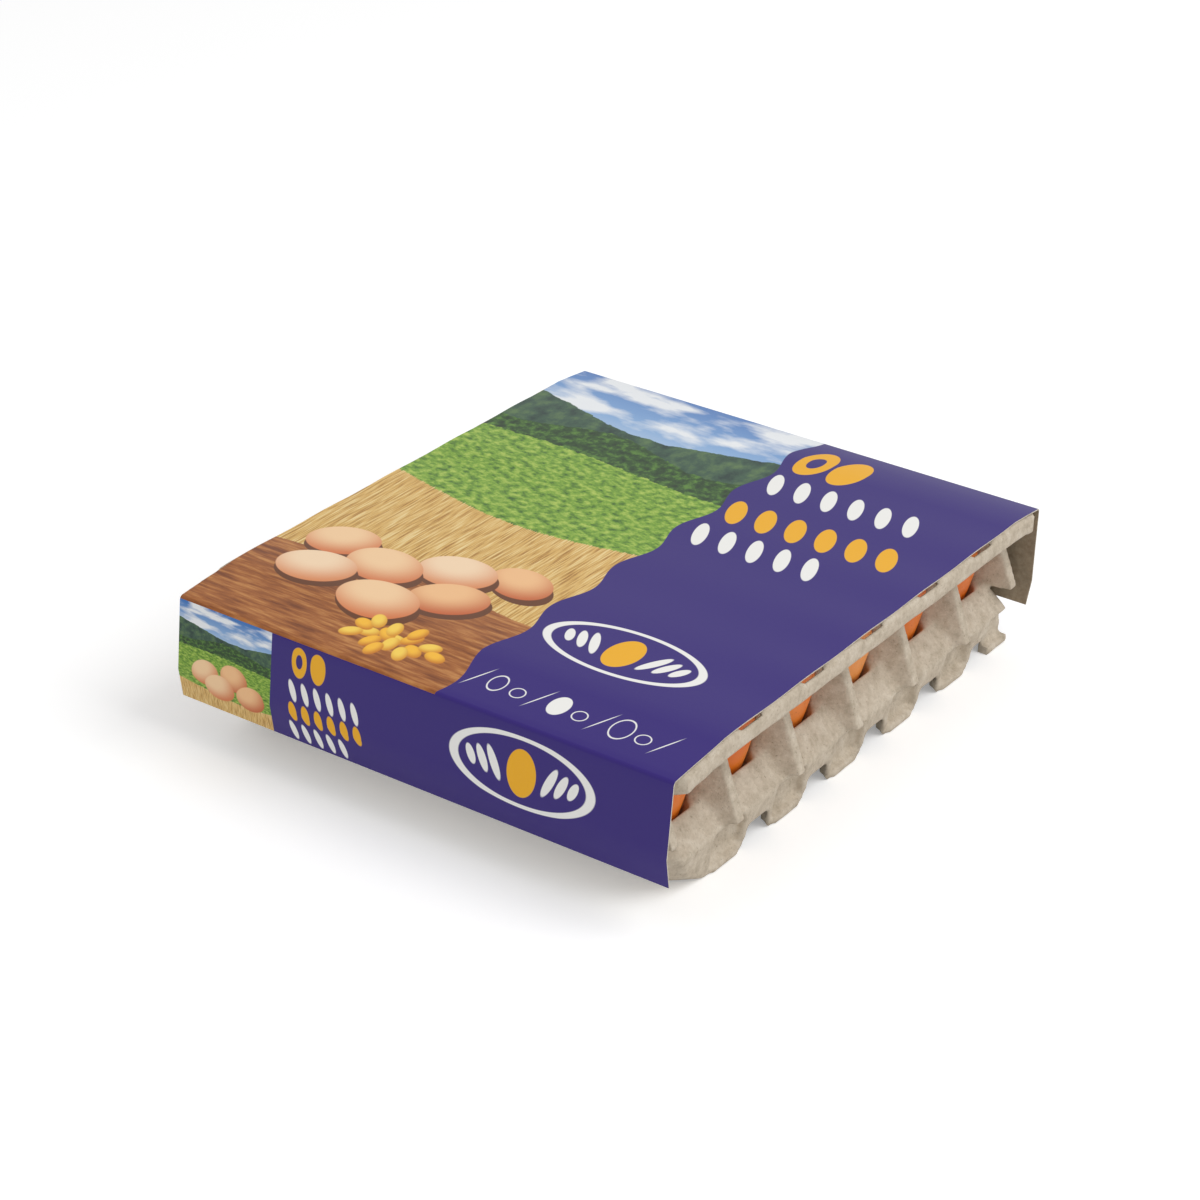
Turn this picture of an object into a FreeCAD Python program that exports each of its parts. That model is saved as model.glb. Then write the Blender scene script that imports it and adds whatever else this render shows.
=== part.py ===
import FreeCAD, Part
import math
import os

# Pulp egg tray for 30 eggs, with its folded card sleeve and the eggs in their cups.
# Frame: +Z up, origin at the middle of the underside, X across the 5 columns, Y along the 6 rows.
# The sleeve's flaps hang at -Y and +Y, and the tray's windows are open at -X and +X.

os.makedirs("parts", exist_ok=True)
doc = FreeCAD.newDocument("egg_pack")
sheet = doc.addObject("Spreadsheet::Sheet", "Sizes")

SIZES = [
    ("columns", 5, "cups across the tray"),
    ("rows", 6, "cups along the tray"),
    ("pitch_across", 44.4, "cup spacing along X"),
    ("pitch_along", 47.5, "cup spacing along Y"),
    ("side_margin", 37.2, "outer cup axis to the card's open edge, X"),
    ("end_margin", 31.25, "outer cup axis to the card's fold, Y"),
    ("pulp_wall", 1.8, "thickness of the moulded pulp"),
    ("tray_height", 71.0, "ground to the top of the rim"),
    ("saddle_height", 32.0, "ground to the low edge between two cups"),
    ("post_height", 60.0, "ground to the top of an inner post"),
    ("post_top_half", 4.0, "half width of a post at its top"),
    ("post_base_half", 12.5, "half width of a post at the saddle"),
    ("cup_floor_height", 8.2, "inside of a cup's floor above the ground"),
    ("cup_floor_half", 11.3, "half width of a cup's floor"),
    ("cup_mouth_half", 20.1, "half width of a cup at the saddle"),
    ("waist_rise", 16.0, "saddle to the height where a cup stops widening"),
    ("egg_clearance_half", 22.6, "half width of the eight-sided room round an egg's waist"),
    ("sill_reach", 20.4, "outer cup axis to the windows' sill"),
    ("skirt_inset", 9.0, "foot of the outer wall, in from the card's open edge"),
    ("skirt_near_inset", 31.0, "foot of the outer wall, in from the near fold"),
    ("skirt_far_inset", 4.5, "foot of the outer wall, in from the far fold"),
    ("bend_height", 8.0, "ground to the bend where the near end's wall turns steeper"),
    ("bend_inset", 8.0, "outer wall at that bend, in from the card's open edge"),
    ("bend_near_inset", 16.5, "outer wall at that bend, in from the near fold"),
    ("ledge_height", 20.0, "ground to the ledge where the outer wall is widest"),
    ("ledge_inset", 6.5, "that ledge, in from the card's open edge"),
    ("ledge_near_inset", 9.5, "that ledge, in from the near fold"),
    ("ledge_far_inset", 6.5, "that ledge, in from the far fold"),
    ("skirt_near_corner", 10.0, "cut across a near corner of the outer wall"),
    ("skirt_far_corner", 4.0, "cut across a far corner of the outer wall"),
    ("fin_foot_inset", 1.5, "foot of a side fin, in from the card's open edge"),
    ("end_fin_foot_inset", 7.0, "foot of an end fin, in from the card's fold"),
    ("fin_foot_height", 22.0, "open lower edge of a fin above the ground"),
    ("corner_fin_foot_height", 31.0, "open lower edge of a corner fin above the ground"),
    ("corner_fin_inset", 10.0, "corner fin, in from the card's fold"),
    ("corner_fin_foot_inset", 3.5, "foot of a corner fin, in from the card's open edge"),
    ("corner_fin_root_half", 8.0, "half width of a corner fin's root at its foot"),
    ("fin_top_reach", 18.4, "outer cup axis to a fin's outer edge at the rim"),
    ("fin_foot_half", 2.6, "half width of a fin's outer edge at its foot"),
    ("fin_top_half", 2.0, "half width of a fin's outer edge at the rim"),
    ("fin_root_foot_half", 12.5, "half width of a fin's root at its foot"),
    ("fin_root_reach", 12.0, "outer cup axis to a fin's root"),
    ("toe_height", 4.0, "height of the toe strip along a foot"),
    ("toe_depth", 1.5, "how far the toe strip stands out of the outer wall"),
    ("toe_half", 9.0, "half length of the toe strip"),
    ("foot_half", 13.5, "half length of a foot below a fin"),
    ("recess_depth", 3.0, "shaded recess above a toe strip, behind the foot of the outer wall"),
    ("recess_height", 19.0, "ground to the top of that recess"),
    ("arch_height", 10.5, "height of the arch between two feet"),
    ("arch_rise_run", 3.0, "length over which an arch rises from each foot"),
    ("arch_depth", 7.2, "how far an arch cuts in behind the foot of the outer wall"),
    ("rim_overhang", 2.0, "rim beyond the card's open edge"),
    ("rim_end_gap", 0.4, "rim to the inside of the card's flap"),
    ("rim_lip_drop", 8.5, "height of the rim's turned-down lip"),
    ("rim_inner_inset", 21.5, "inner edge of the rim, in from the card's open edge"),
    ("rim_end_inner_inset", 18.0, "inner edge of the rim, in from the card's fold"),
    ("rim_corner", 7.0, "cut across each corner of the rim"),
    ("rim_near_droop", 3.6, "rim end below the rim's middle at -Y"),
    ("rim_far_droop", 2.4, "rim end below the rim's middle at +Y"),
    ("near_droop_run", 36.0, "length of the drooping end at -Y"),
    ("far_droop_run", 24.0, "length of the drooping end at +Y"),
    ("notch_length", 19.0, "length of a notch in the rim's edge over a fin"),
    ("notch_depth", 1.1, "depth of that notch"),
    ("notch_width", 4.5, "width of that notch"),
    ("card_thickness", 0.6, "thickness of the sleeve's card"),
    ("card_gap", 0.25, "rim's top to the inside of the card"),
    ("flap_height", 48.0, "height of each flap"),
    ("flap_flare", 3.0, "how far the near flap stands out where it bulges most"),
    ("flap_bulge_drop", 34.0, "that bulge below the near fold"),
    ("flap_tuck", 2.5, "how far the near flap's lower edge curls back in"),
    ("far_flap_tuck", 4.0, "how far the far flap's lower edge bends in"),
    ("far_bend_drop", 37.0, "where that bend starts below the far fold"),
    ("fold_radius", 2.0, "outer radius of the sleeve's folds"),
    ("egg_radius", 21.6, "radius of an egg's waist"),
    ("egg_blunt", 24.0, "egg's waist to its blunt upper end"),
    ("egg_blunt_radius", 18.0, "radius of the blunt end's cap"),
    ("egg_point", 34.5, "egg's waist to its pointed lower end"),
    ("egg_point_radius", 14.5, "radius of the pointed end's cap"),
    ("egg_seat_gap", 0.15, "egg to the cup wall that carries it"),
]
for row, (alias, value, meaning) in enumerate(SIZES, start=1):
    sheet.set("A%d" % row, alias)
    sheet.set("B%d" % row, str(value))
    sheet.set("C%d" % row, meaning)
    sheet.setAlias("B%d" % row, alias)
doc.recompute()


def size(alias):
    return float(sheet.get(alias))


COLUMNS = int(size("columns"))
ROWS = int(size("rows"))
wall = size("pulp_wall")
half_width = ((COLUMNS - 1) * size("pitch_across")) / 2 + size("side_margin")
half_length = ((ROWS - 1) * size("pitch_along")) / 2 + size("end_margin")
column_axes = [(i - (COLUMNS - 1) / 2) * size("pitch_across") for i in range(COLUMNS)]
row_axes = [(j - (ROWS - 1) / 2) * size("pitch_along") for j in range(ROWS)]
column_gaps = [(a + b) / 2 for a, b in zip(column_axes, column_axes[1:])]
row_gaps = [(a + b) / 2 for a, b in zip(row_axes, row_axes[1:])]
rim_underside = size("tray_height") - wall


def flat_face(corners):
    return Part.Face(Part.makePolygon(corners + corners[:1]))


def plan_face(points, z):
    return flat_face([FreeCAD.Vector(x, y, z) for x, y in points])


# A solid of flat faces through level outlines, given as (points, height) from the lowest up.
def stacked(levels):
    rings = [[FreeCAD.Vector(x, y, z) for x, y in points] for points, z in levels]
    faces = [flat_face(rings[0]), flat_face(rings[-1])]
    for low, high in zip(rings, rings[1:]):
        for k in range(len(low)):
            after = (k + 1) % len(low)
            faces.append(flat_face([low[k], low[after], high[after], high[k]]))
    shell = Part.Shell(faces)
    shell.sewShape()
    solid = Part.Solid(shell)
    if solid.Volume < 0:
        solid.reverse()
    return solid


def rectangle(half_x, half_y, cut):
    return [
        (half_x - cut, -half_y), (half_x, -half_y + cut), (half_x, half_y - cut), (half_x - cut, half_y),
        (cut - half_x, half_y), (-half_x, half_y - cut), (-half_x, -half_y + cut), (cut - half_x, -half_y),
    ]


def wall_plan(half_x, near_y, far_y):
    near_cut = size("skirt_near_corner")
    far_cut = size("skirt_far_corner")
    return [
        (half_x - near_cut, -near_y), (half_x, near_cut - near_y),
        (half_x, far_y - far_cut), (half_x - far_cut, far_y),
        (far_cut - half_x, far_y), (-half_x, far_y - far_cut),
        (-half_x, near_cut - near_y), (near_cut - half_x, -near_y),
    ]


def octagon(x, y, apothem):
    corner_radius = apothem / math.cos(math.pi / 8)
    angles = [math.pi / 8 + k * math.pi / 4 for k in range(8)]
    return [(x + corner_radius * math.cos(a), y + corner_radius * math.sin(a)) for a in angles]


# The outer wall stands out to a ledge, then leans in to the sill. Its near end slants in under the flap,
# where the wall is measured level, so it takes twice the growth.
def wall_body(grow, low_z, high_z):
    far_y = half_length - size("skirt_far_inset")
    sill_x = column_axes[-1] + size("sill_reach")
    sill_y = row_axes[-1] + size("sill_reach")
    outlines = [
        (half_width - size("skirt_inset"), half_length - size("skirt_near_inset") + grow, far_y, low_z),
        (half_width - size("bend_inset"), half_length - size("bend_near_inset") + grow,
         far_y, size("bend_height")),
        (half_width - size("ledge_inset"), half_length - size("ledge_near_inset"),
         half_length - size("ledge_far_inset"), size("ledge_height")),
        (sill_x, sill_y, sill_y, high_z),
    ]
    return stacked([(wall_plan(x + grow, near + grow, far + grow), z) for x, near, far, z in outlines])


# A cup is eight-sided, tapered up to the saddle and nearly upright round the egg's waist.
def cup_room(x, y, grow, floor_z, top_z):
    saddle_z = size("saddle_height")
    room = size("egg_clearance_half")
    sections = [(size("cup_floor_half"), floor_z), (size("cup_mouth_half"), saddle_z),
                (room, saddle_z + size("waist_rise")), (room, top_z)]
    return stacked([(octagon(x, y, half + grow), z) for half, z in sections])


# An inner post is a hollow four-sided peak between four cups.
def post_body(x, y, grow, low_z, top_z):
    slope = (size("post_base_half") - size("post_top_half")) / (size("post_height") - size("saddle_height"))
    low_half = size("post_top_half") + grow + slope * (size("post_height") - low_z)
    top_half = size("post_top_half") + grow
    square = [(-1, -1), (1, -1), (1, 1), (-1, 1)]
    low = [(x + low_half * a, y + low_half * b) for a, b in square]
    high = [(x + top_half * a, y + top_half * b) for a, b in square]
    return stacked([(low, low_z), (high, top_z)])


# A fin is the half post at the edge: it leans out from under the rim to its open foot.
def fin_body(along, foot_reach, top_reach, root_reach, root_half, grow, foot_z, top_z, turn):
    spread = (root_half - size("fin_foot_half")) / (foot_reach - root_reach)
    levels = []
    for reach, half, z in ((foot_reach + grow, size("fin_foot_half") + grow, foot_z),
                           (top_reach + grow, size("fin_top_half") + grow, top_z)):
        root = half + spread * (reach - root_reach)
        plan = [(reach, along - half), (reach, along + half),
                (root_reach, along + root), (root_reach, along - root)]
        levels.append(([turn(p) for p in plan], z))
    return stacked(levels)


def to_plus_x(p):
    return (p[0], p[1])


def to_minus_x(p):
    return (-p[0], -p[1])


def to_plus_y(p):
    return (-p[1], p[0])


def to_minus_y(p):
    return (p[1], -p[0])


def fins(grow, top_z, sink):
    found = []
    side_top = column_axes[-1] + size("fin_top_reach")
    side_root = column_axes[-1] + size("fin_root_reach")
    end_top = row_axes[-1] + size("fin_top_reach")
    end_root = row_axes[-1] + size("fin_root_reach")
    side_foot = half_width - size("fin_foot_inset")
    corner_foot = half_width - size("corner_fin_foot_inset")
    end_foot = half_length - size("end_fin_foot_inset")
    corner_spot = half_length - size("corner_fin_inset")
    root_half = size("fin_root_foot_half")
    corner_root_half = size("corner_fin_root_half")
    foot_z = size("fin_foot_height") - sink
    corner_z = size("corner_fin_foot_height") - sink
    for turn in (to_plus_x, to_minus_x):
        for along in row_gaps:
            found.append(fin_body(along, side_foot, side_top, side_root, root_half, grow,
                                  foot_z, top_z, turn))
        for along in (-corner_spot, corner_spot):
            found.append(fin_body(along, corner_foot, side_top, side_root, corner_root_half, grow,
                                  corner_z, top_z, turn))
    for turn in (to_plus_y, to_minus_y):
        for along in column_gaps:
            found.append(fin_body(along, end_foot, end_top, end_root, root_half, grow, foot_z, top_z, turn))
    return found


# The rim is a shallow crowned frame: flat on top, lower at its two ends, with a lip turned down all round.
rim_half_x = half_width + size("rim_overhang")
rim_half_y = half_length - size("card_thickness") - size("rim_end_gap")


def crown(drop, beyond=0.0):
    top = size("tray_height") - drop
    near_slope = size("rim_near_droop") / size("near_droop_run")
    far_slope = size("rim_far_droop") / size("far_droop_run")
    return [(-rim_half_y - beyond, top - size("rim_near_droop") - near_slope * beyond),
            (size("near_droop_run") - rim_half_y, top),
            (rim_half_y - size("far_droop_run"), top),
            (rim_half_y + beyond, top - size("rim_far_droop") - far_slope * beyond)]


def along_x(profile, half_x):
    corners = [FreeCAD.Vector(-half_x, y, z) for y, z in profile]
    return flat_face(corners).extrude(FreeCAD.Vector(2 * half_x, 0, 0))


def upright(points, low_z, high_z):
    return plan_face(points, low_z).extrude(FreeCAD.Vector(0, 0, high_z - low_z))


def rim_frame():
    outside = along_x(crown(0.0) + crown(size("rim_lip_drop"))[::-1], rim_half_x)
    inside = along_x(crown(wall) + crown(size("rim_lip_drop") + wall)[::-1], rim_half_x)
    below = size("tray_height") / 2
    above = size("tray_height") + wall
    corner = size("rim_corner")
    open_x = half_width - size("rim_inner_inset")
    open_y = half_length - size("rim_end_inner_inset")
    outline = upright(rectangle(rim_half_x, rim_half_y, corner), below, above)
    inner_line = upright(rectangle(rim_half_x - wall, rim_half_y - wall, corner), below, above)
    opening = upright(rectangle(open_x, open_y, corner), below, above)
    return outside.common(outline).cut([inside.common(inner_line), opening])


# Feet stand below the side fins and at the far end. Between two feet the wall's edge is cut in a low arch.
def foot_sides():
    side = half_width - size("skirt_inset")
    far = half_length - size("skirt_far_inset")
    corner = far - size("toe_half")
    return [(to_plus_x, row_axes[1:], row_gaps + [corner], side),
            (to_minus_x, [-y for y in row_axes[1:]], [-y for y in row_gaps + [corner]], side),
            (to_plus_y, column_axes, column_gaps, far)]


def arches():
    found = []
    half = size("pitch_along") / 2 - size("foot_half")
    top_half = half - size("arch_rise_run")
    out = size("arch_depth") + half_width / 2
    for turn, spots, feet, reach in foot_sides():
        for along in spots:
            corners = [(along - half, -wall), (along + half, -wall), (along + half, 0.0),
                       (along + top_half, size("arch_height")), (along - top_half, size("arch_height")),
                       (along - half, 0.0)]
            points = []
            for across, z in corners:
                x, y = turn((reach - size("arch_depth"), across))
                points.append(FreeCAD.Vector(x, y, z))
            x, y = turn((out, 0.0))
            found.append(flat_face(points).extrude(FreeCAD.Vector(x, y, 0)))
    return found


def beside_feet(half, inner, outer, low_z, high_z):
    found = []
    for turn, spots, feet, reach in foot_sides():
        for along in feet:
            plan = [turn(p) for p in ((reach + inner, along - half), (reach + outer, along - half),
                                      (reach + outer, along + half), (reach + inner, along + half))]
            found.append(upright(plan, low_z, high_z))
    return found


def recesses(grow):
    behind = -size("recess_depth") - grow
    return beside_feet(size("foot_half") - wall + grow, behind, half_width / 2,
                       size("toe_height") - grow, size("recess_height") + grow)


def notches():
    found = []
    inner = rim_half_x - size("notch_width")
    outer = rim_half_x + wall
    top = size("tray_height")
    for turn in (to_plus_x, to_minus_x):
        for along in row_gaps:
            low = along - size("notch_length") / 2
            high = along + size("notch_length") / 2
            plan = [turn(p) for p in ((inner, low), (outer, low), (outer, high), (inner, high))]
            found.append(upright(plan, top - size("notch_depth"), top + wall))
    return found


def moulded_tray():
    saddle_z = size("saddle_height")
    post_z = size("post_height")
    rim_z = size("tray_height")
    post_spots = [(x, y) for x in column_gaps for y in row_gaps]
    cup_spots = [(x, y) for x in column_axes for y in row_axes]
    posts = [post_body(x, y, 0.0, saddle_z / 2, post_z) for x, y in post_spots]
    post_rooms = [post_body(x, y, -wall, saddle_z / 2 - wall, post_z - wall) for x, y in post_spots]
    grown_cups = [cup_room(x, y, wall, size("cup_floor_height") - wall, rim_z) for x, y in cup_spots]
    cups = [cup_room(x, y, 0.0, size("cup_floor_height"), rim_z + wall) for x, y in cup_spots]
    envelope = wall_body(0.0, 0.0, saddle_z).fuse(posts + fins(0.0, rim_underside + wall / 2, 0.0))
    hollow = wall_body(-wall, -wall, saddle_z - wall)
    hollow = hollow.fuse(post_rooms + fins(-wall, rim_underside - wall, wall))
    hollow = hollow.cut(grown_cups + recesses(wall))
    above = [(half_length + wall, rim_z + wall), (-half_length - wall, rim_z + wall)]
    over_rim = along_x(crown(wall / 2, half_length + wall - rim_half_y) + above, rim_half_x)
    shell = envelope.cut(cups + [hollow, over_rim] + recesses(0.0) + arches())
    behind = -size("recess_depth") - wall
    toes = beside_feet(size("toe_half"), behind, size("toe_depth"), 0.0, size("toe_height"))
    return shell.fuse([rim_frame()] + toes).cut(notches()).removeSplitter()


tray = doc.addObject("Part::Feature", "pulp_tray")
tray.Label = "pulp_tray"
tray.Shape = moulded_tray()
tray.Placement = FreeCAD.Placement()


# The sleeve is one strip of card: two flaps hang from a top that rests on the rim.
def offset_line(points, distance):
    moved = []
    last = len(points) - 1
    for k, (y, z) in enumerate(points):
        before = points[max(k - 1, 0)]
        after = points[min(k + 1, last)]
        normals = []
        for a, b in ((before, (y, z)), ((y, z), after)):
            run = math.hypot(b[0] - a[0], b[1] - a[1])
            if run > 0:
                normals.append(((a[1] - b[1]) / run, (b[0] - a[0]) / run))
        nx = sum(n[0] for n in normals) / len(normals)
        nz = sum(n[1] for n in normals) / len(normals)
        scale = distance / (nx * nx + nz * nz)
        moved.append((y + nx * scale, z + nz * scale))
    return moved


def sleeve_line():
    lift = size("card_gap")
    top = [(y, z + lift) for y, z in crown(0.0, half_length - rim_half_y - size("card_thickness"))]
    near_y, near_z = top[0]
    far_y, far_z = top[-1]
    drop = size("flap_height")
    near_flap = [(near_y - size("flap_flare") + size("flap_tuck"), near_z - drop),
                 (near_y - size("flap_flare"), near_z - size("flap_bulge_drop"))]
    far_flap = [(far_y, far_z - size("far_bend_drop")), (far_y - size("far_flap_tuck"), far_z - drop)]
    return near_flap + top + far_flap


def outer_fold_edges(shape):
    found = []
    line = sleeve_line()
    nearest = size("card_thickness") / 2
    farthest = 3 * size("card_thickness")
    for number, edge in enumerate(shape.Edges, start=1):
        middle = edge.CenterOfMass
        run = edge.Vertexes[-1].Point - edge.Vertexes[0].Point
        distances = [math.hypot(middle.y - y, middle.z - z) for y, z in (line[2], line[5])]
        if abs(run.x) > size("side_margin") and nearest < min(distances) < farthest:
            found.append("Edge%d" % number)
    return found


sleeve_body = doc.addObject("PartDesign::Body", "sleeve_body")
sleeve_body.Label = "card_sleeve"
profile = sleeve_body.newObject("Sketcher::SketchObject", "sleeve_profile")
side_plane = [f for f in sleeve_body.Origin.OriginFeatures if f.Role == "YZ_Plane"][0]
profile.AttachmentSupport = [(side_plane, "")]
profile.MapMode = "FlatFace"
inner_line = sleeve_line()
outline = inner_line + offset_line(inner_line, size("card_thickness"))[::-1]
for a, b in zip(outline, outline[1:] + outline[:1]):
    profile.addGeometry(Part.LineSegment(FreeCAD.Vector(a[0], a[1], 0), FreeCAD.Vector(b[0], b[1], 0)))
pad = sleeve_body.newObject("PartDesign::Pad", "sleeve_pad")
pad.Profile = profile
pad.Midplane = True
pad.setExpression("Length", "(Sizes.columns - 1) * Sizes.pitch_across + 2 * Sizes.side_margin")
doc.recompute()
soft_folds = sleeve_body.newObject("PartDesign::Fillet", "sleeve_folds")
soft_folds.Base = (pad, outer_fold_edges(pad.Shape))
soft_folds.setExpression("Radius", "Sizes.fold_radius")
doc.recompute()


# An egg's outline is a round waist and two round caps, joined by straights tangent to both.
def lean(reach, cap):
    return math.asin((size("egg_radius") - cap) / (reach - cap))


def egg_half_at(reach, cap, height):
    waist = size("egg_radius")
    angle = lean(reach, cap)
    if height <= waist * math.sin(angle):
        return math.sqrt(waist ** 2 - height ** 2)
    if height <= reach - cap + cap * math.sin(angle):
        return waist * math.cos(angle) - (height - waist * math.sin(angle)) * math.tan(angle)
    return math.sqrt(cap ** 2 - (height - reach + cap) ** 2)


def half_outline(reach, cap, side):
    angle = lean(reach, cap)
    spots = []
    for radius, centre, turns in ((size("egg_radius"), 0.0, (0.0, angle / 2, angle)),
                                  (cap, reach - cap, (angle, (angle + math.pi / 2) / 2, math.pi / 2))):
        for turn in turns:
            height = centre + radius * math.sin(turn)
            spots.append(FreeCAD.Vector(radius * math.cos(turn), side * height, 0))
    return [Part.Arc(*spots[:3]), Part.LineSegment(spots[2], spots[3]), Part.Arc(*spots[3:])]


# The pointed end hangs down in the cup until the egg's side meets the cup's walls.
def cup_height_at(half):
    floor_z = size("cup_floor_height")
    floor_half = size("cup_floor_half")
    mouth_half = size("cup_mouth_half")
    if half <= mouth_half:
        return floor_z + (half - floor_half) * (size("saddle_height") - floor_z) / (mouth_half - floor_half)
    slope = (size("egg_clearance_half") - mouth_half) / size("waist_rise")
    return size("saddle_height") + (half - mouth_half) / slope


def waist_height():
    steps = 400
    heights = []
    for k in range(steps):
        below = size("egg_point") * k / steps
        half = egg_half_at(size("egg_point"), size("egg_point_radius"), below)
        heights.append(below + cup_height_at(half + size("egg_seat_gap")))
    return max(heights)


sheet.set("B%d" % (len(SIZES) + 1), str(round(waist_height(), 3)))
sheet.setAlias("B%d" % (len(SIZES) + 1), "egg_waist_height")
egg_form = doc.addObject("PartDesign::Body", "egg_form")
egg_profile = egg_form.newObject("Sketcher::SketchObject", "egg_profile")
egg_plane = [f for f in egg_form.Origin.OriginFeatures if f.Role == "XZ_Plane"][0]
egg_profile.AttachmentSupport = [(egg_plane, "")]
egg_profile.MapMode = "FlatFace"
egg_sides = half_outline(size("egg_blunt"), size("egg_blunt_radius"), 1)
egg_sides += half_outline(size("egg_point"), size("egg_point_radius"), -1)
for side in egg_sides:
    egg_profile.addGeometry(side)
axis_ends = [FreeCAD.Vector(0, size("egg_blunt"), 0), FreeCAD.Vector(0, -size("egg_point"), 0)]
egg_axis = Part.LineSegment(*axis_ends)
egg_profile.addGeometry(egg_axis)
doc.recompute()
turned_egg = egg_form.newObject("PartDesign::Revolution", "turned_egg")
turned_egg.Profile = egg_profile
turned_egg.ReferenceAxis = (egg_profile, ["V_Axis"])
turned_egg.Angle = 360
doc.recompute()

eggs = []
for row in range(ROWS):
    for column in range(COLUMNS):
        name = "egg_%d_%d" % (row + 1, column + 1)
        egg = doc.addObject("Part::Feature", name)
        egg.Label = name
        egg.Shape = egg_form.Shape.copy()
        egg.setExpression("Placement.Base.x", "(%d - (Sizes.columns - 1) / 2) * Sizes.pitch_across" % column)
        egg.setExpression("Placement.Base.y", "(%d - (Sizes.rows - 1) / 2) * Sizes.pitch_along" % row)
        egg.setExpression("Placement.Base.z", "Sizes.egg_waist_height")
        eggs.append(egg)
doc.recompute()

subparts = [tray, sleeve_body] + eggs
for item in doc.Objects:
    if "Invalid" in item.State or "Error" in item.State:
        raise RuntimeError("%s did not build: %s" % (item.Name, item.State))
for item in subparts:
    if item.Shape.isNull() or not item.Shape.isValid() or len(item.Shape.Solids) != 1:
        raise RuntimeError("%s is not one valid solid" % item.Label)
for item in subparts:
    item.Shape.exportStep("parts/%s.step" % item.Label)
print("built", len(subparts), "sub-parts, the eggs' waist at", size("egg_waist_height"))
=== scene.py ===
import math

import bpy
from mathutils import Matrix, Vector


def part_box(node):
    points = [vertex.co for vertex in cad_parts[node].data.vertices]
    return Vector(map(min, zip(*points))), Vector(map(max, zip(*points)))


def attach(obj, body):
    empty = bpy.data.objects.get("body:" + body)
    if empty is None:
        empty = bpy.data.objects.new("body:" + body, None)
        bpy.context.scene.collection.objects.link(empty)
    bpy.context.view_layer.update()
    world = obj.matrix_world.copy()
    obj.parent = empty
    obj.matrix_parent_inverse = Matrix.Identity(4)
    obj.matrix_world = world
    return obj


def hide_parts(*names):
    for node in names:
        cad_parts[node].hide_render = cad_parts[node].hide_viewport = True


# A pack of thirty eggs: a moulded pulp tray, the eggs in its cups and a folded printed card sleeve over them.
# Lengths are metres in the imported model's frame. The print is laid out in millimetres on the unfolded card.
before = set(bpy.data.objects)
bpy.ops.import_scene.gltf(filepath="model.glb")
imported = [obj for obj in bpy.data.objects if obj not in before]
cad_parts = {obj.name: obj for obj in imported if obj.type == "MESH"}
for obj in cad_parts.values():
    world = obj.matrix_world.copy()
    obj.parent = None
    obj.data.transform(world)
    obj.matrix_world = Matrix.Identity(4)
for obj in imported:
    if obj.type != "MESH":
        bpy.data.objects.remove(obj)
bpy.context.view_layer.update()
bpy.context.view_layer.update()

# The tray is one moulding of grey-brown recycled paper pulp. It is drawn onto a wire-mesh mould and then oven
# dried, so its edges are soft, its walls are a little uneven and its face is felted with short fibres.
WELD = 0.00001
VOXEL = 0.00125
TRAY_TRIANGLES = 180000
DRYING_PASSES = 2
FELT_SIZE = 0.014
FELT_DEPTH = 0.0005
FELT_INWARD = 0.65


def linear(colour):
    parts = [int(colour[k:k + 2], 16) / 255 for k in (1, 3, 5)]
    return [c / 12.92 if c <= 0.04045 else ((c + 0.055) / 1.055) ** 2.4 for c in parts] + [1.0]


def add(tree, kind, settings=None, links=None):
    node = tree.nodes.new(kind)
    for key, value in (settings or {}).items():
        if isinstance(key, str) and hasattr(node, key):
            setattr(node, key, value)
        else:
            node.inputs[key].default_value = value
    for key, source in (links or {}).items():
        tree.links.new(source, node.inputs[key])
    return node


def new_material(name):
    material = bpy.data.materials.new(name)
    material.use_nodes = True
    tree = material.node_tree
    return material, tree, tree.nodes["Principled BSDF"]


def set_ramp(node, stops):
    ramp = node.color_ramp
    while len(ramp.elements) > 1:
        ramp.elements.remove(ramp.elements[-1])
    for k, (place, colour) in enumerate(stops):
        stop = ramp.elements[0] if k == 0 else ramp.elements.new(place)
        stop.position = place
        stop.color = linear(colour)
    return node.outputs["Color"]


def select_only(thing):
    bpy.ops.object.select_all(action="DESELECT")
    thing.select_set(True)
    bpy.context.view_layer.objects.active = thing


def finish_modifiers(thing):
    select_only(thing)
    for modifier in list(thing.modifiers):
        bpy.ops.object.modifier_apply(modifier=modifier.name)


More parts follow.
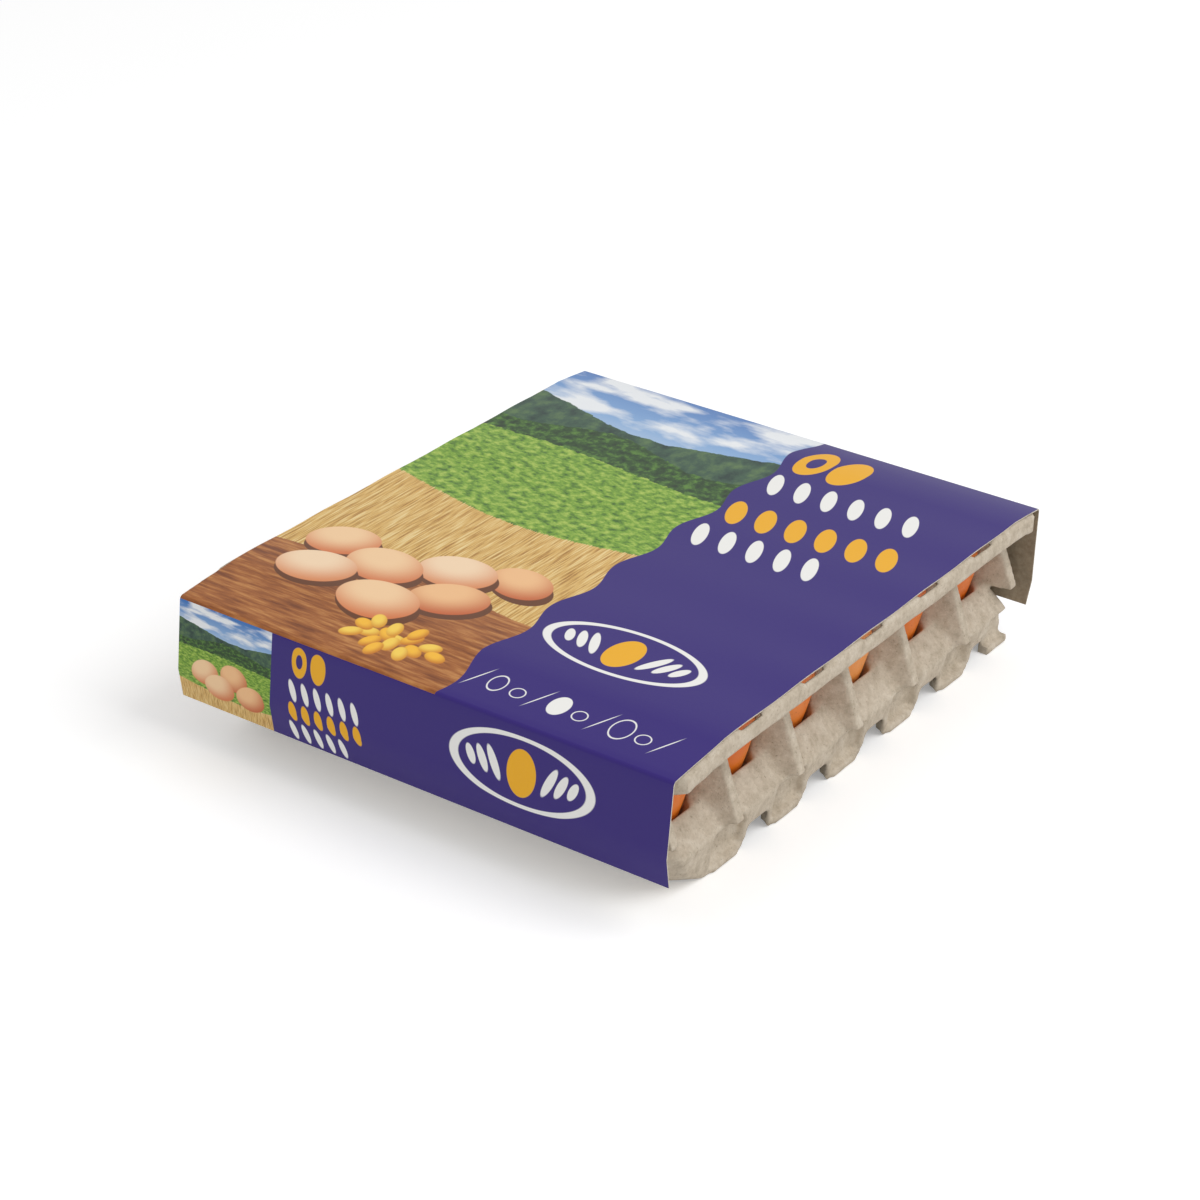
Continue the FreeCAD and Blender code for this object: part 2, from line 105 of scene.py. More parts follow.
# Moulded pulp: matt grey-brown paper felt, finely mottled, with darker flecks and a few pale fibres.
def moulded_pulp():
    material, tree, shader = new_material("moulded_pulp")
    place = add(tree, "ShaderNodeTexCoord").outputs["Object"]
    cloud = add(tree, "ShaderNodeTexNoise", {"Scale": 160.0, "Detail": 7.0, "Roughness": 0.75},
                {"Vector": place})
    tone = add(tree, "ShaderNodeValToRGB", {}, {"Fac": cloud.outputs["Fac"]})
    base = set_ramp(tone, [(0.32, "#AB9E8B"), (0.5, "#C2B5A2"), (0.68, "#D3C8B7")])
    fleck = add(tree, "ShaderNodeTexNoise", {"Scale": 900.0, "Detail": 3.0, "Roughness": 0.7},
                {"Vector": place})
    dark = add(tree, "ShaderNodeMapRange", {"From Min": 0.60, "From Max": 0.72, "To Max": 0.55},
               {"Value": fleck.outputs["Fac"]})
    spotted = add(tree, "ShaderNodeMix", {"data_type": "RGBA", 7: linear("#6E604C")},
                  {0: dark.outputs[0], 6: base})
    pale = add(tree, "ShaderNodeMapRange", {"From Min": 0.38, "From Max": 0.28, "To Max": 0.5},
               {"Value": fleck.outputs["Fac"]})
    fibres = add(tree, "ShaderNodeMix", {"data_type": "RGBA", 7: linear("#DDD3C0")},
                 {0: pale.outputs[0], 6: spotted.outputs[2]})
    felt = add(tree, "ShaderNodeTexNoise", {"Scale": 420.0, "Detail": 6.0, "Roughness": 0.65},
               {"Vector": place})
    bump = add(tree, "ShaderNodeBump", {"Strength": 0.55, "Distance": 0.0006},
               {"Height": felt.outputs["Fac"]})
    tree.links.new(fibres.outputs[2], shader.inputs["Base Color"])
    tree.links.new(bump.outputs["Normal"], shader.inputs["Normal"])
    shader.inputs["Roughness"].default_value = 0.93
    shader.inputs["Specular IOR Level"].default_value = 0.25
    return material


cad_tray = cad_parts["pulp_tray"]
tray = bpy.data.objects.new("moulded_tray", cad_tray.data.copy())
bpy.context.scene.collection.objects.link(tray)
select_only(tray)
bpy.ops.object.mode_set(mode="EDIT")
bpy.ops.mesh.select_all(action="SELECT")
bpy.ops.mesh.remove_doubles(threshold=WELD)
bpy.ops.object.mode_set(mode="OBJECT")
felting = tray.modifiers.new("felting", "REMESH")
felting.mode = "VOXEL"
felting.voxel_size = VOXEL
drying = tray.modifiers.new("drying", "SMOOTH")
drying.factor = 0.5
drying.iterations = DRYING_PASSES
uneven = bpy.data.textures.new("uneven_pulp", "CLOUDS")
uneven.noise_scale = FELT_SIZE
unevenness = tray.modifiers.new("unevenness", "DISPLACE")
unevenness.texture = uneven
unevenness.texture_coords = "LOCAL"
unevenness.strength = FELT_DEPTH
unevenness.mid_level = FELT_INWARD
finish_modifiers(tray)
count = sum(len(face.vertices) - 2 for face in tray.data.polygons)
if count > TRAY_TRIANGLES:
    thinning = tray.modifiers.new("thinning", "DECIMATE")
    thinning.ratio = TRAY_TRIANGLES / count
    finish_modifiers(tray)
bpy.ops.object.shade_smooth()
tray_low, tray_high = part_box("pulp_tray")
for vertex in tray.data.vertices:
    vertex.co = [min(max(v, low), high) for v, low, high in zip(vertex.co, tray_low, tray_high)]
tray.data.materials.clear()
tray.data.materials.append(moulded_pulp())
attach(tray, "root")
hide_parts("pulp_tray")

# Thirty brown hen's eggs stand blunt end up in the cups. Each shell is hard, satin and finely pitted, and no
# two are the same brown. They are held only by their own weight.
EGG_BLUNT = 0.0240
EGG_NARROWING = 0.09
EGG_SEGMENTS = 40
EGG_RINGS = 28


# Brown eggshell: satin calcite with fine pores, its brown varying from egg to egg and from end to end.
def brown_shell():
    material, tree, shader = new_material("brown_eggshell")
    place = add(tree, "ShaderNodeTexCoord").outputs["Object"]
    batch = add(tree, "ShaderNodeTexNoise", {"Scale": 18.0, "Detail": 1.0}, {"Vector": place})
    tone = add(tree, "ShaderNodeValToRGB", {}, {"Fac": batch.outputs["Fac"]})
    base = set_ramp(tone, [(0.3, "#D95F10"), (0.5, "#E87718"), (0.7, "#F2994A")])
    speck = add(tree, "ShaderNodeTexNoise", {"Scale": 700.0, "Detail": 2.0}, {"Vector": place})
    specks = add(tree, "ShaderNodeMapRange", {"From Min": 0.62, "From Max": 0.74, "To Max": 0.35},
                 {"Value": speck.outputs["Fac"]})
    coloured = add(tree, "ShaderNodeMix", {"data_type": "RGBA", 7: linear("#8E3A12")},
                   {0: specks.outputs[0], 6: base})
    pores = add(tree, "ShaderNodeTexNoise", {"Scale": 1500.0, "Detail": 2.0}, {"Vector": place})
    bump = add(tree, "ShaderNodeBump", {"Strength": 0.2, "Distance": 0.0002},
               {"Height": pores.outputs["Fac"]})
    tree.links.new(coloured.outputs[2], shader.inputs["Base Color"])
    tree.links.new(bump.outputs["Normal"], shader.inputs["Normal"])
    shader.inputs["Roughness"].default_value = 0.42
    return material


first_low, first_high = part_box("egg_1_1")
waist_radius = (first_high.x - first_low.x) / 2
egg_point = first_high.z - first_low.z - EGG_BLUNT
bpy.ops.object.select_all(action="DESELECT")
bpy.ops.mesh.primitive_uv_sphere_add(segments=EGG_SEGMENTS, ring_count=EGG_RINGS, radius=waist_radius)
egg_form = bpy.context.object
select_only(egg_form)
for vertex in egg_form.data.vertices:
    depth = -vertex.co.z / waist_radius
    if depth < 0:
        vertex.co.z *= EGG_BLUNT / waist_radius
        continue
    narrow = 1 - EGG_NARROWING * 4 * depth * (1 - depth)
    vertex.co.x *= narrow
    vertex.co.y *= narrow
    vertex.co.z *= egg_point / waist_radius
bpy.ops.object.shade_smooth()
egg_form.data.materials.append(brown_shell())
for node in sorted(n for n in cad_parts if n.startswith("egg_")):
    low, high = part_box(node)
    middle = (low + high) / 2
    shell = bpy.data.objects.new("shell_" + node[4:], egg_form.data.copy())
    shell.data.transform(Matrix.Translation((middle.x, middle.y, high.z - EGG_BLUNT)))
    bpy.context.scene.collection.objects.link(shell)
    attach(shell, "root")
    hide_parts(node)
bpy.data.objects.remove(egg_form)

# The sleeve is one strip of thin recycled board, printed and varnished outside, creased twice and folded over
# the tray. Glue spots hold it to the tray's rim at the corners, and it bows a little between the rims.
CARD = 0.00055
NEAR_RUN = 0.0360
NEAR_DROOP = 0.0036
FAR_RUN = 0.0240
FAR_DROOP = 0.0024
BULGE_DROP = 0.0340
FLAP_FLARE = 0.0030
FLAP_TUCK = 0.0025
FAR_BEND_DROP = 0.0370
FAR_TUCK = 0.0040
FLAP_DROP = 0.0480
FOLD_SOFTNESS = 0.0016
FOLD_STEPS = 4
SMOOTH_ANGLE = math.radians(40)
CARD_STEP = 0.0050
BOW = 0.0006
BOW_RATE = 23.0
BOW_PHASE = 0.6
RIPPLE = 0.00045
RIPPLE_PHASE = 0.8
RIPPLE_INSIDE = 0.35
MM = 0.001
TOUCH = 1e-5
LEVEL = 1e-6

card_low, card_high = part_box("card_sleeve")
near_fold = card_low.y + FLAP_FLARE
far_fold = card_high.y
card_top = card_high.z
half_card = card_high.x
pitch_along = (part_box("egg_6_1")[0].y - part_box("egg_1_1")[0].y) / 5


def pick_edges(mesh, wanted):
    bpy.ops.object.mode_set(mode="EDIT")
    bpy.ops.mesh.select_mode(type="EDGE")
    bpy.ops.mesh.select_all(action="DESELECT")
    bpy.ops.object.mode_set(mode="OBJECT")
    for edge in mesh.edges:
        a, b = [mesh.vertices[k].co for k in edge.vertices]
        edge.select = wanted(a, b)
    bpy.ops.object.mode_set(mode="EDIT")


def draw_out(thing, edge_y, edge_z, move_y, move_z):
    pick_edges(thing.data, lambda a, b: max(abs(a.y - edge_y), abs(b.y - edge_y), abs(a.z - edge_z),
                                            abs(b.z - edge_z)) < TOUCH)
    bpy.ops.mesh.extrude_region_move(TRANSFORM_OT_translate={"value": (0, move_y, move_z)})
    bpy.ops.object.mode_set(mode="OBJECT")
    return edge_y + move_y, edge_z + move_z


flat_start = near_fold + NEAR_RUN
flat_end = far_fold - FAR_RUN
bpy.ops.mesh.primitive_plane_add(size=2, location=(0, 0, 0))
card = bpy.context.object
card.name = "folded_card"
select_only(card)
bpy.ops.object.mode_set(mode="EDIT")
bpy.ops.mesh.select_all(action="SELECT")
bpy.ops.transform.resize(value=(half_card, (flat_end - flat_start) / 2, 1))
bpy.ops.transform.translate(value=(0, (flat_start + flat_end) / 2, card_top))
bpy.ops.object.mode_set(mode="OBJECT")
y, z = draw_out(card, flat_start, card_top, -NEAR_RUN, -NEAR_DROOP)
y, z = draw_out(card, y, z, -FLAP_FLARE, -BULGE_DROP)
y, z = draw_out(card, y, z, FLAP_TUCK, BULGE_DROP - FLAP_DROP)
y, z = draw_out(card, flat_end, card_top, FAR_RUN, -FAR_DROOP)
y, z = draw_out(card, y, z, 0, -FAR_BEND_DROP)
y, z = draw_out(card, y, z, -FAR_TUCK, FAR_BEND_DROP - FLAP_DROP)

near_fold_z = card_top - NEAR_DROOP
far_fold_z = card_top - FAR_DROOP
pick_edges(card.data, lambda a, b: abs(a.y - b.y) < LEVEL and abs(a.z - b.z) < LEVEL
           and (abs(a.y - near_fold) + abs(a.z - near_fold_z) < 10 * TOUCH
                or abs(a.y - far_fold) + abs(a.z - far_fold_z) < 10 * TOUCH))
bpy.ops.mesh.bevel(offset=FOLD_SOFTNESS, segments=FOLD_STEPS)
bpy.ops.object.mode_set(mode="OBJECT")
pick_edges(card.data, lambda a, b: abs(a.y - b.y) < LEVEL and abs(a.z - b.z) < LEVEL)
bpy.ops.mesh.subdivide(number_cuts=round(2 * half_card / CARD_STEP))
bpy.ops.object.mode_set(mode="OBJECT")
for longest, cuts in ((0.15, 3), (0.03, 3), (0.008, 1)):
    pick_edges(card.data, lambda a, b: abs(a.x - b.x) < LEVEL and (a - b).length > longest)
    bpy.ops.mesh.subdivide(number_cuts=cuts)
    bpy.ops.object.mode_set(mode="OBJECT")


# The card's developed length, measured from the near fold, is where its print lies.
def developed(point):
    if point.z < near_fold_z - FOLD_SOFTNESS and point.y < 0:
        return point.z - near_fold_z
    if point.z < far_fold_z - FOLD_SOFTNESS and point.y > 0:
        return far_fold - near_fold + far_fold_z - point.z
    return point.y - near_fold


print_map = card.data.uv_layers[0] if card.data.uv_layers else card.data.uv_layers.new()
print_map.name = "print"
for loop in card.data.loops:
    corner = card.data.vertices[loop.vertex_index].co
    print_map.data[loop.index].uv = ((corner.x + half_card) / MM, developed(corner) / MM)


# Between the rims the card sags, and over each row of eggs it lifts a little.
def settle(point):
    across = math.cos(math.pi * point.x / (2 * half_card))
    sag = -BOW * across * (1 + math.sin(BOW_RATE * point.y + BOW_PHASE)) / 2
    wave = RIPPLE * (math.cos(2 * math.pi * point.y / pitch_along + RIPPLE_PHASE) - 1) / 2
    edge = abs(point.x) / half_card
    return sag + wave * (RIPPLE_INSIDE + (1 - RIPPLE_INSIDE) * edge ** 3)


for vertex in card.data.vertices:
    point = vertex.co
    if point.z > near_fold_z - 3 * FOLD_SOFTNESS:
        fade = min(1, (point.y - near_fold) / NEAR_RUN, (far_fold - point.y) / FAR_RUN)
        point.z += settle(point) * max(fade, 0)

DEEP_PURPLE = "#2F1878"
YELLOW = "#F6B40E"
WHITE = "#F7F6F2"
OVAL_EDGE = 0.2
INK_SOFTNESS = 0.10
PICTURE_SOFTNESS = 0.15
BORDER_MM = 136.0
BORDER_SWELL_MM = 2.6
BORDER_WAVE_MM = 48.0
FLAP_BORDER_MM = 51.0


# The share of the way in from an oval's edge: OVAL_EDGE on its outline, one in its middle, zero well outside.
def depth_in_oval(tree, place, centre, radii, lean):
    grown = [radius / (1 - OVAL_EDGE) for radius in radii]
    local = add(tree, "ShaderNodeMapping",
                {"vector_type": "TEXTURE", "Location": (*centre, 0), "Rotation": (0, 0, lean),
                 "Scale": (*grown, 1)}, {"Vector": place})
    return add(tree, "ShaderNodeTexGradient", {"gradient_type": "SPHERICAL"},
               {"Vector": local.outputs[0]}).outputs["Fac"]


def print_oval(tree, below, place, centre, radii, lean, ink, ring=0.0):
    depth = depth_in_oval(tree, place, centre, radii, lean)
    soft = min(INK_SOFTNESS / min(radii), OVAL_EDGE)
    mask = add(tree, "ShaderNodeMapRange", {"From Min": OVAL_EDGE - soft, "From Max": OVAL_EDGE + soft},
               {"Value": depth}).outputs[0]
    if ring:
        inner = OVAL_EDGE + ring / min(radii)
        kept = add(tree, "ShaderNodeMapRange", {"From Min": inner + soft, "From Max": inner - soft},
                   {"Value": depth})
        mask = add(tree, "ShaderNodeMath", {"operation": "MULTIPLY"},
                   {0: mask, 1: kept.outputs[0]}).outputs[0]
    return add(tree, "ShaderNodeMix", {"data_type": "RGBA", 7: linear(ink)}, {0: mask, 6: below}).outputs[2]


def print_egg(tree, below, place, centre, radii, lean, light, dark):
    soft = PICTURE_SOFTNESS / min(radii)
    mask = add(tree, "ShaderNodeMapRange", {"From Min": OVAL_EDGE - soft, "From Max": OVAL_EDGE + soft},
               {"Value": depth_in_oval(tree, place, centre, radii, lean)})
    lit_spot = (centre[0] - 0.28 * radii[0], centre[1] + 0.42 * radii[1])
    lit_reach = (1.45 * radii[0], 1.45 * radii[1])
    shade = add(tree, "ShaderNodeMapRange",
                {"From Min": 0.1, "From Max": 0.8, "interpolation_type": "SMOOTHSTEP"},
                {"Value": depth_in_oval(tree, place, lit_spot, lit_reach, lean)})
    skin = add(tree, "ShaderNodeMix", {"data_type": "RGBA", 6: linear(dark), 7: linear(light)},
               {0: shade.outputs[0]})
    return add(tree, "ShaderNodeMix", {"data_type": "RGBA"},
               {0: mask.outputs[0], 6: below, 7: skin.outputs[2]}).outputs[2]


# One belt of the country view: its wavy skyline, its grain and its three inks. The view is one by one.
def lay_field(tree, below, view, height, swell, waves, shift, grain, inks):
    place, across, up = view
    phase = add(tree, "ShaderNodeMath", {"operation": "MULTIPLY_ADD", 1: waves * 2 * math.pi, 2: shift},
                {0: across})
    wave = add(tree, "ShaderNodeMath", {"operation": "SINE"}, {0: phase.outputs[0]})
    skyline = add(tree, "ShaderNodeMath", {"operation": "MULTIPLY_ADD", 1: swell, 2: height},
                  {0: wave.outputs[0]})
    stretch = add(tree, "ShaderNodeMapping", {"Scale": (grain[0], grain[1], 1), "Rotation": (0, 0, grain[2])},
                  {"Vector": place})
    growth = add(tree, "ShaderNodeTexNoise", {"Scale": 1.0, "Detail": 5.0, "Roughness": 0.62},
                 {"Vector": stretch.outputs[0]})
    ragged = add(tree, "ShaderNodeMath", {"operation": "MULTIPLY_ADD", 1: 0.02},
                 {0: growth.outputs["Fac"], 2: skyline.outputs[0]})
    over = add(tree, "ShaderNodeMath", {"operation": "SUBTRACT"}, {0: ragged.outputs[0], 1: up})
    mask = add(tree, "ShaderNodeMapRange", {"From Min": -0.001, "From Max": 0.001},
               {"Value": over.outputs[0]})
    tone = add(tree, "ShaderNodeValToRGB", {}, {"Fac": growth.outputs["Fac"]})
    colour = set_ramp(tone, [(0.34, inks[0]), (0.5, inks[1]), (0.66, inks[2])])
    return add(tree, "ShaderNodeMix", {"data_type": "RGBA"},
               {0: mask.outputs[0], 6: below, 7: colour}).outputs[2]


# A plain country view: sky and cloud, two hills, a meadow, ripe wheat and bare soil.
def country_view(tree, place, parts, low, size):
    square = add(tree, "ShaderNodeMapping", {"vector_type": "TEXTURE", "Location": (0, low, 0),
                                             "Scale": (*size, 1.0)}, {"Vector": place}).outputs[0]
    across = add(tree, "ShaderNodeMath", {"operation": "DIVIDE", 1: size[0]},
                 {0: parts.outputs["X"]}).outputs[0]
    up = add(tree, "ShaderNodeMath", {"operation": "MULTIPLY_ADD", 1: 1 / size[1], 2: -low / size[1]},
             {0: parts.outputs["Y"]}).outputs[0]
    view = (square, across, up)
    tone = add(tree, "ShaderNodeValToRGB", {}, {"Fac": up})
    sky = set_ramp(tone, [(0.72, "#DCE8F4"), (0.86, "#8FB4DF"), (1.0, "#3F78C0")])
    drift = add(tree, "ShaderNodeMapping", {"Scale": (3.0, 14.0, 1), "Rotation": (0, 0, 0.15)},
                {"Vector": square})
    cloud = add(tree, "ShaderNodeTexNoise", {"Scale": 1.0, "Detail": 5.0}, {"Vector": drift.outputs[0]})
    cover = add(tree, "ShaderNodeMapRange", {"From Min": 0.48, "From Max": 0.62},
                {"Value": cloud.outputs["Fac"]})
    seen = add(tree, "ShaderNodeMix", {"data_type": "RGBA", 7: linear("#F2F5F8")},
               {0: cover.outputs[0], 6: sky}).outputs[2]
    seen = lay_field(tree, seen, view, 0.845, 0.030, 0.8, 2.2, (14, 20, 0), ("#1F3A33", "#3A5A45", "#5C7A4C"))
    seen = lay_field(tree, seen, view, 0.775, 0.022, 1.3, 4.4, (30, 60, 0), ("#173016", "#2F5320", "#5D8A34"))
    seen = lay_field(tree, seen, view, 0.700, 0.012, 0.7, 0.5, (30, 90, 0.5),
                     ("#3F6B1C", "#7DA832", "#B4CC5A"))
    seen = lay_field(tree, seen, view, 0.475, 0.030, 0.6, 2.6, (150, 14, 0.1),
                     ("#A8742E", "#E0B566", "#F4DB9E"))
    return lay_field(tree, seen, view, 0.215, 0.016, 0.9, 5.2, (6, 110, 0.05),
                     ("#7A3F17", "#A5622C", "#C98A4C"))


# A row of wheat grains: ovals that all lean one way, as in a wind.
def print_grains(tree, below, place, start, pitch, count, radii, lean, ink):
    for k in range(count):
        centre = (start[0] + k * pitch, start[1])
        below = print_oval(tree, below, place, centre, radii, lean, ink)
    return below


# A plain badge: an oval ring round a yellow egg, with grains at its two sides.
def print_badge(tree, below, place, centre, radii):
    below = print_oval(tree, below, place, centre, radii, 0.0, WHITE, 1.6)
    x, y = centre
    below = print_oval(tree, below, place, (x, y - 0.02 * radii[1]),
                       (0.2 * radii[0], 0.66 * radii[1]), 0.0, YELLOW)
    for side in (-1, 1):
        for k, reach in enumerate((0.38, 0.54, 0.70)):
            spot = (x + side * reach * radii[0], y)
            size = (0.055 * radii[0], (0.48 - 0.1 * k) * radii[1])
            below = print_oval(tree, below, place, spot, size, side * -0.45, WHITE)
    return below


# Three sizes of plain egg outline in a row, divided by thin slanted strokes.
def print_size_row(tree, below, place, start, pitch):
    x, y = start
    for k in range(4):
        below = print_oval(tree, below, place, (x + k * pitch, y), (0.32, 8.0), -0.42, WHITE)
    for k in range(3):
        spot = (x + k * pitch + 0.32 * pitch, y)
        radii = (4.1 + 0.5 * k, 6.0 + 0.7 * k)
        below = print_oval(tree, below, place, spot, radii, 0.0, WHITE, 0.0 if k == 1 else 0.45)
        dot = (x + k * pitch + 0.68 * pitch, y - 1.5)
        below = print_oval(tree, below, place, dot, (3.6, 3.6), 0.0, WHITE, 0.45)
    return below


# Printed board: clay-coated recycled card in offset colours under a gloss varnish.
def varnish(tree, shader, colour):
    tree.links.new(colour, shader.inputs["Base Color"])
    shader.inputs["Roughness"].default_value = 0.34
    shader.inputs["Specular IOR Level"].default_value = 0.3
    shader.inputs["Coat Weight"].default_value = 0.2
    shader.inputs["Coat Roughness"].default_value = 0.16


def print_places(tree):
    place = add(tree, "ShaderNodeUVMap", {"uv_map": "print"}).outputs["UV"]
    read = add(tree, "ShaderNodeAttribute", {"attribute_name": "print"})
    parts = add(tree, "ShaderNodeSeparateXYZ", {}, {0: read.outputs["Vector"]})
    return place, parts


# The top's print: a country view with brown eggs at the left, a purple field with a wavy edge at the right.
def printed_top():
    material, tree, shader = new_material("printed_top_board")
    place, parts = print_places(tree)
    view = country_view(tree, place, parts, 0.0, (140.0, 300.0))
    eggs = [((26, 78), (17, 13), 0.35), ((112, 92), (16, 12.5), -0.3), ((84, 84), (18.5, 14), 0.1),
            ((55, 70), (19, 14.5), -0.15), ((96, 62), (18, 14), 0.4), ((32, 52), (18.5, 14), 0.2),
            ((72, 44), (20, 15), -0.1)]
    for k, (centre, radii, lean) in enumerate(eggs):
        light, dark = (("#FBD3A4", "#D9743C"), ("#F8C48E", "#C9602C"), ("#FCDDB8", "#E08A54"))[k % 3]
        shadow = (centre[0] + 3, centre[1] - 4)
        view = print_oval(tree, view, place, shadow, (radii[0] * 1.04, radii[1] * 0.95), lean, "#6A3A18")
        view = print_egg(tree, view, place, centre, radii, lean, light, dark)
    for k in range(16):
        angle = 2.4 * k
        spread = 3.4 * math.sqrt(k)
        spot = (98 + 1.9 * spread * math.cos(angle), 22 + 0.75 * spread * math.sin(angle))
        light, dark = (("#FFD75A", "#D98A1C"), ("#FFC23A", "#C9741A"))[k % 2]
        view = print_egg(tree, view, place, spot, (5.2, 3.4), angle, light, dark)
    phase = add(tree, "ShaderNodeMath", {"operation": "MULTIPLY", 1: 2 * math.pi / BORDER_WAVE_MM},
                {0: parts.outputs["Y"]})
    wave = add(tree, "ShaderNodeMath", {"operation": "SINE"}, {0: phase.outputs[0]})
    border = add(tree, "ShaderNodeMath", {"operation": "MULTIPLY_ADD", 1: BORDER_SWELL_MM, 2: BORDER_MM},
                 {0: wave.outputs[0]})
    past = add(tree, "ShaderNodeMath", {"operation": "SUBTRACT"},
               {0: parts.outputs["X"], 1: border.outputs[0]})
    field = add(tree, "ShaderNodeMapRange", {"From Min": -PICTURE_SOFTNESS, "From Max": PICTURE_SOFTNESS},
                {"Value": past.outputs[0]})
    top = add(tree, "ShaderNodeMix", {"data_type": "RGBA", 7: linear(DEEP_PURPLE)},
              {0: field.outputs[0], 6: view}).outputs[2]
    top = print_oval(tree, top, place, (149, 274), (8.0, 15.0), -0.12, YELLOW, 3.6)
    top = print_oval(tree, top, place, (167, 274), (8.0, 15.0), -0.12, YELLOW)
    top = print_grains(tree, top, place, (146, 243), 14.2, 6, (3.4, 11.0), 0.35, WHITE)
    top = print_grains(tree, top, place, (147, 208), 15.6, 6, (4.6, 12.0), 0.35, YELLOW)
    top = print_grains(tree, top, place, (146, 180), 14.2, 5, (3.4, 11.0), 0.35, WHITE)
    top = print_badge(tree, top, place, (182, 68), (39.0, 19.0))
    top = print_size_row(tree, top, place, (144, 19), 30.5)
    varnish(tree, shader, top)
    return material


# The flaps' print: the same country view small at the left, then purple with grains and the badge.
def printed_flap():
    material, tree, shader = new_material("printed_flap_board")
    place, parts = print_places(tree)
    view = country_view(tree, place, parts, -75.0, (62.0, 75.0))
    for k, (centre, radii, lean) in enumerate((((15, -31), (7.5, 5.8), 0.2), ((31, -29), (7.5, 5.8), -0.2),
                                               ((23, -36), (8.2, 6.2), 0.1), ((40, -36), (7.8, 6.0), 0.2))):
        light, dark = (("#FBD3A4", "#D9743C"), ("#F8C48E", "#C9602C"))[k % 2]
        view = print_egg(tree, view, place, centre, radii, lean, light, dark)
    beside = add(tree, "ShaderNodeMapRange",
                 {"From Min": FLAP_BORDER_MM - INK_SOFTNESS, "From Max": FLAP_BORDER_MM + INK_SOFTNESS},
                 {"Value": parts.outputs["X"]})
    flap = add(tree, "ShaderNodeMix", {"data_type": "RGBA", 7: linear(DEEP_PURPLE)},
               {0: beside.outputs[0], 6: view}).outputs[2]
    flap = print_oval(tree, flap, place, (66, -9.5), (4.0, 7.4), 0.0, YELLOW, 1.8)
    flap = print_oval(tree, flap, place, (76, -9.5), (4.0, 7.4), 0.0, YELLOW)
    flap = print_grains(tree, flap, place, (63, -23.5), 6.6, 6, (1.6, 5.0), 0.35, WHITE)
    flap = print_grains(tree, flap, place, (63.5, -33), 6.9, 6, (2.0, 4.4), 0.35, YELLOW)
    flap = print_grains(tree, flap, place, (63, -42.5), 6.6, 5, (1.6, 4.6), 0.35, WHITE)
    flap = print_badge(tree, flap, place, (181, -20.5), (36.0, 16.0))
    varnish(tree, shader, flap)
    return material


# Board back: bare recycled grey-brown paper, matt, with fine fibres.
def bare_board(name, tones):
    material, tree, shader = new_material(name)
    place = add(tree, "ShaderNodeTexCoord").outputs["Object"]
    fibre = add(tree, "ShaderNodeTexNoise", {"Scale": 350.0, "Detail": 6.0, "Roughness": 0.7},
                {"Vector": place})
    tone = add(tree, "ShaderNodeValToRGB", {}, {"Fac": fibre.outputs["Fac"]})
    tree.links.new(set_ramp(tone, tones), shader.inputs["Base Color"])
    bump = add(tree, "ShaderNodeBump", {"Strength": 0.2, "Distance": 0.0002},
               {"Height": fibre.outputs["Fac"]})
    tree.links.new(bump.outputs["Normal"], shader.inputs["Normal"])
    shader.inputs["Roughness"].default_value = 0.9
    return material


bare_back = bare_board("bare_board_back", [(0.35, "#8A7B66"), (0.65, "#A2937D")])
cut_edge = bare_board("cut_board_edge", [(0.35, "#B9AFA0"), (0.65, "#D6CEC0")])
for finish in (printed_top(), printed_flap(), bare_back, bare_back, cut_edge, cut_edge):
    card.data.materials.append(finish)
for face in card.data.polygons:
    face.material_index = 1 if developed(face.center) < 0 else 0
board = card.modifiers.new("board", "SOLIDIFY")
board.thickness = CARD
board.offset = -1
board.use_even_offset = True
board.material_offset = 2
board.material_offset_rim = 4
finish_modifiers(card)
bpy.ops.object.shade_smooth_by_angle(angle=SMOOTH_ANGLE)
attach(card, "root")
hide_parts("card_sleeve")

# The floor is a wide pale table that the feet stand on. It shows white to the eye and keeps the pack's soft
# shadow.
FLOOR_HALF = 6.0
TABLE_GLOW = 0.28
bpy.ops.object.select_all(action="DESELECT")
bpy.ops.mesh.primitive_plane_add(size=2, location=(0, 0, 0))
floor = bpy.context.object
floor.name = "floor"
select_only(floor)
bpy.ops.object.mode_set(mode="EDIT")
bpy.ops.mesh.select_all(action="SELECT")
bpy.ops.transform.resize(value=(FLOOR_HALF, FLOOR_HALF, 1))
bpy.ops.object.mode_set(mode="OBJECT")
table, table_tree, table_shader = new_material("pale_table")
table_shader.inputs["Base Color"].default_value = linear("#F4F4F4")
table_shader.inputs["Roughness"].default_value = 0.9
table_shader.inputs["Specular IOR Level"].default_value = 0.0
ray = add(table_tree, "ShaderNodeLightPath")
seen = add(table_tree, "ShaderNodeMath", {"operation": "MULTIPLY", 1: TABLE_GLOW},
           {0: ray.outputs["Is Camera Ray"]})
table_shader.inputs["Emission Color"].default_value = (1, 1, 1, 1)
table_tree.links.new(seen.outputs[0], table_shader.inputs["Emission Strength"])
floor.data.materials.append(table)

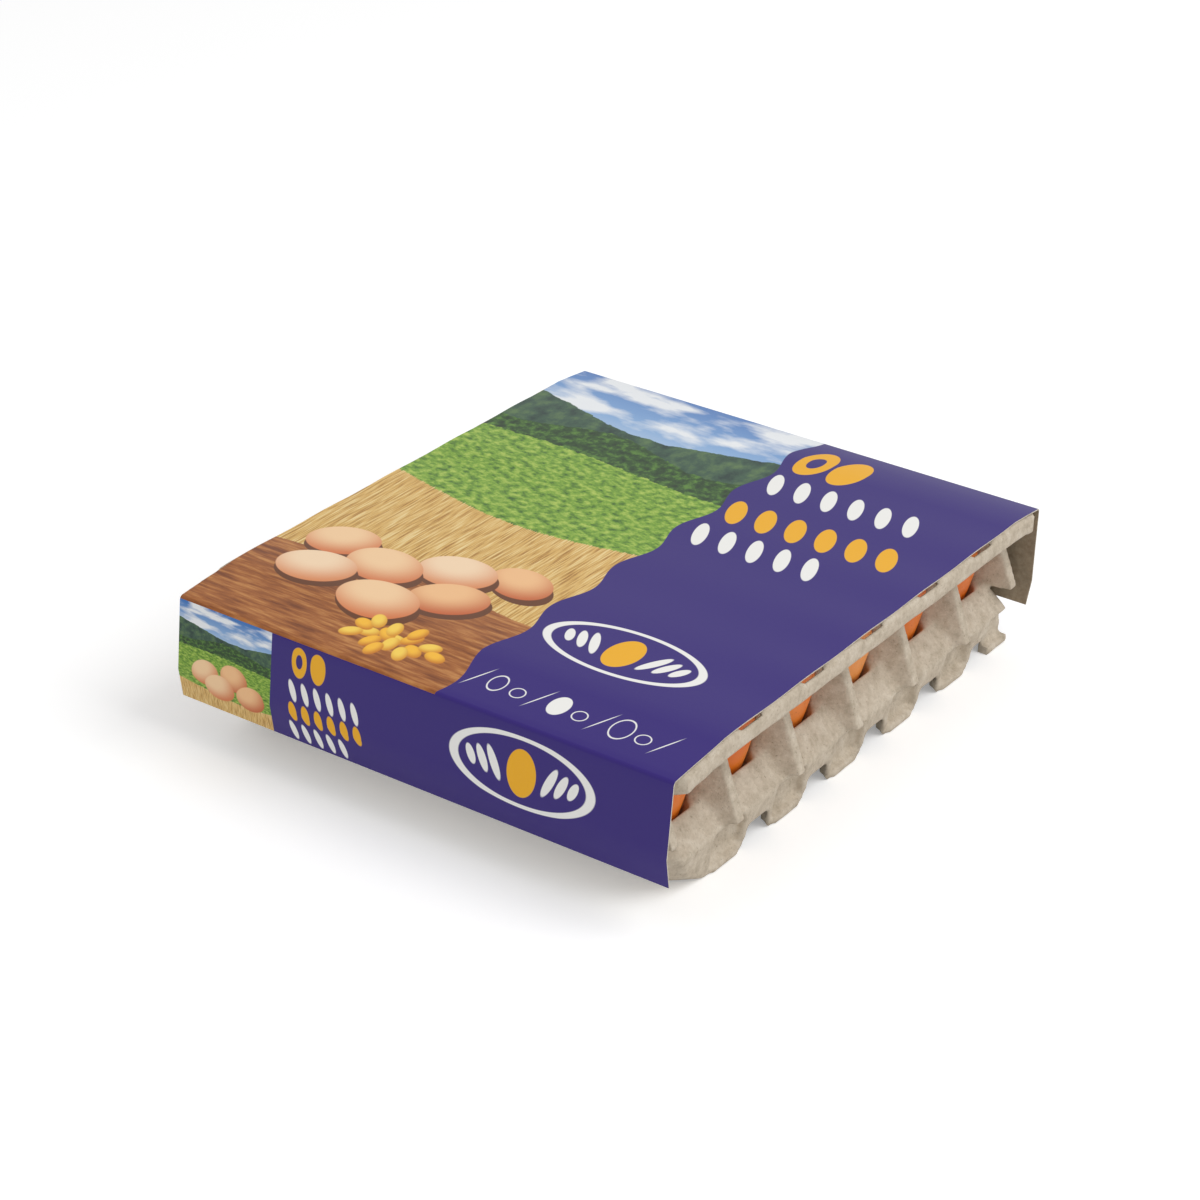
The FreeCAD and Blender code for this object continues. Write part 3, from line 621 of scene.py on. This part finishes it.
# Soft studio light: an even white room, and one large soft box high on the right that shapes the pulp.
ROOM_STRENGTH = 0.62
KEY_POWER = 26.0
KEY_SIZE = 1.6
KEY_PLACE = (1.5, 0.3, 1.9)
world = bpy.data.worlds.new("white_room")
bpy.context.scene.world = world
world.use_nodes = True
room = world.node_tree
back = room.nodes["Background"]
back.inputs["Color"].default_value = (1, 1, 1, 1)
path = add(room, "ShaderNodeLightPath")
shown = add(room, "ShaderNodeMath", {"operation": "MAXIMUM"},
            {0: path.outputs["Is Camera Ray"], 1: path.outputs["Is Transmission Ray"]})
level = add(room, "ShaderNodeMapRange", {"To Min": ROOM_STRENGTH, "To Max": 1.0}, {"Value": shown.outputs[0]})
room.links.new(level.outputs[0], back.inputs["Strength"])
lamp = bpy.data.lights.new("soft_box", "AREA")
lamp.shape = "SQUARE"
lamp.size = KEY_SIZE
lamp.energy = KEY_POWER
soft_box = bpy.data.objects.new("soft_box", lamp)
soft_box.location = KEY_PLACE
soft_box.rotation_euler = (-Vector(KEY_PLACE)).to_track_quat("-Z", "Y").to_euler()
bpy.context.scene.collection.objects.link(soft_box)

# The camera looks down on the pack's near corner, from its right, through a long lens.
AZIMUTH = math.radians(34.08)
ELEVATION = math.radians(27.82)
ROLL = math.radians(1.68)
DISTANCE = 1.37691
AIM = Vector((-0.00853, -0.00557, 0.04382))
LENS = 93.17
SENSOR = 36.0
backward = Vector((math.sin(AZIMUTH) * math.cos(ELEVATION), -math.cos(AZIMUTH) * math.cos(ELEVATION),
                   math.sin(ELEVATION)))
right = Vector((math.cos(AZIMUTH), math.sin(AZIMUTH), 0))
upward = backward.cross(right)
rolled_right = right * math.cos(ROLL) + upward * math.sin(ROLL)
rolled_up = upward * math.cos(ROLL) - right * math.sin(ROLL)
view = bpy.data.cameras.new("photo_view")
view.lens = LENS
view.sensor_width = SENSOR
view.sensor_fit = "HORIZONTAL"
view.clip_end = 50.0
camera = bpy.data.objects.new("photo_view", view)
turn = Matrix((rolled_right, rolled_up, backward)).transposed()
camera.matrix_world = Matrix.Translation(AIM + backward * DISTANCE) @ turn.to_4x4()
bpy.context.scene.collection.objects.link(camera)
bpy.context.scene.camera = camera
bpy.context.scene.view_settings.view_transform = "Standard"
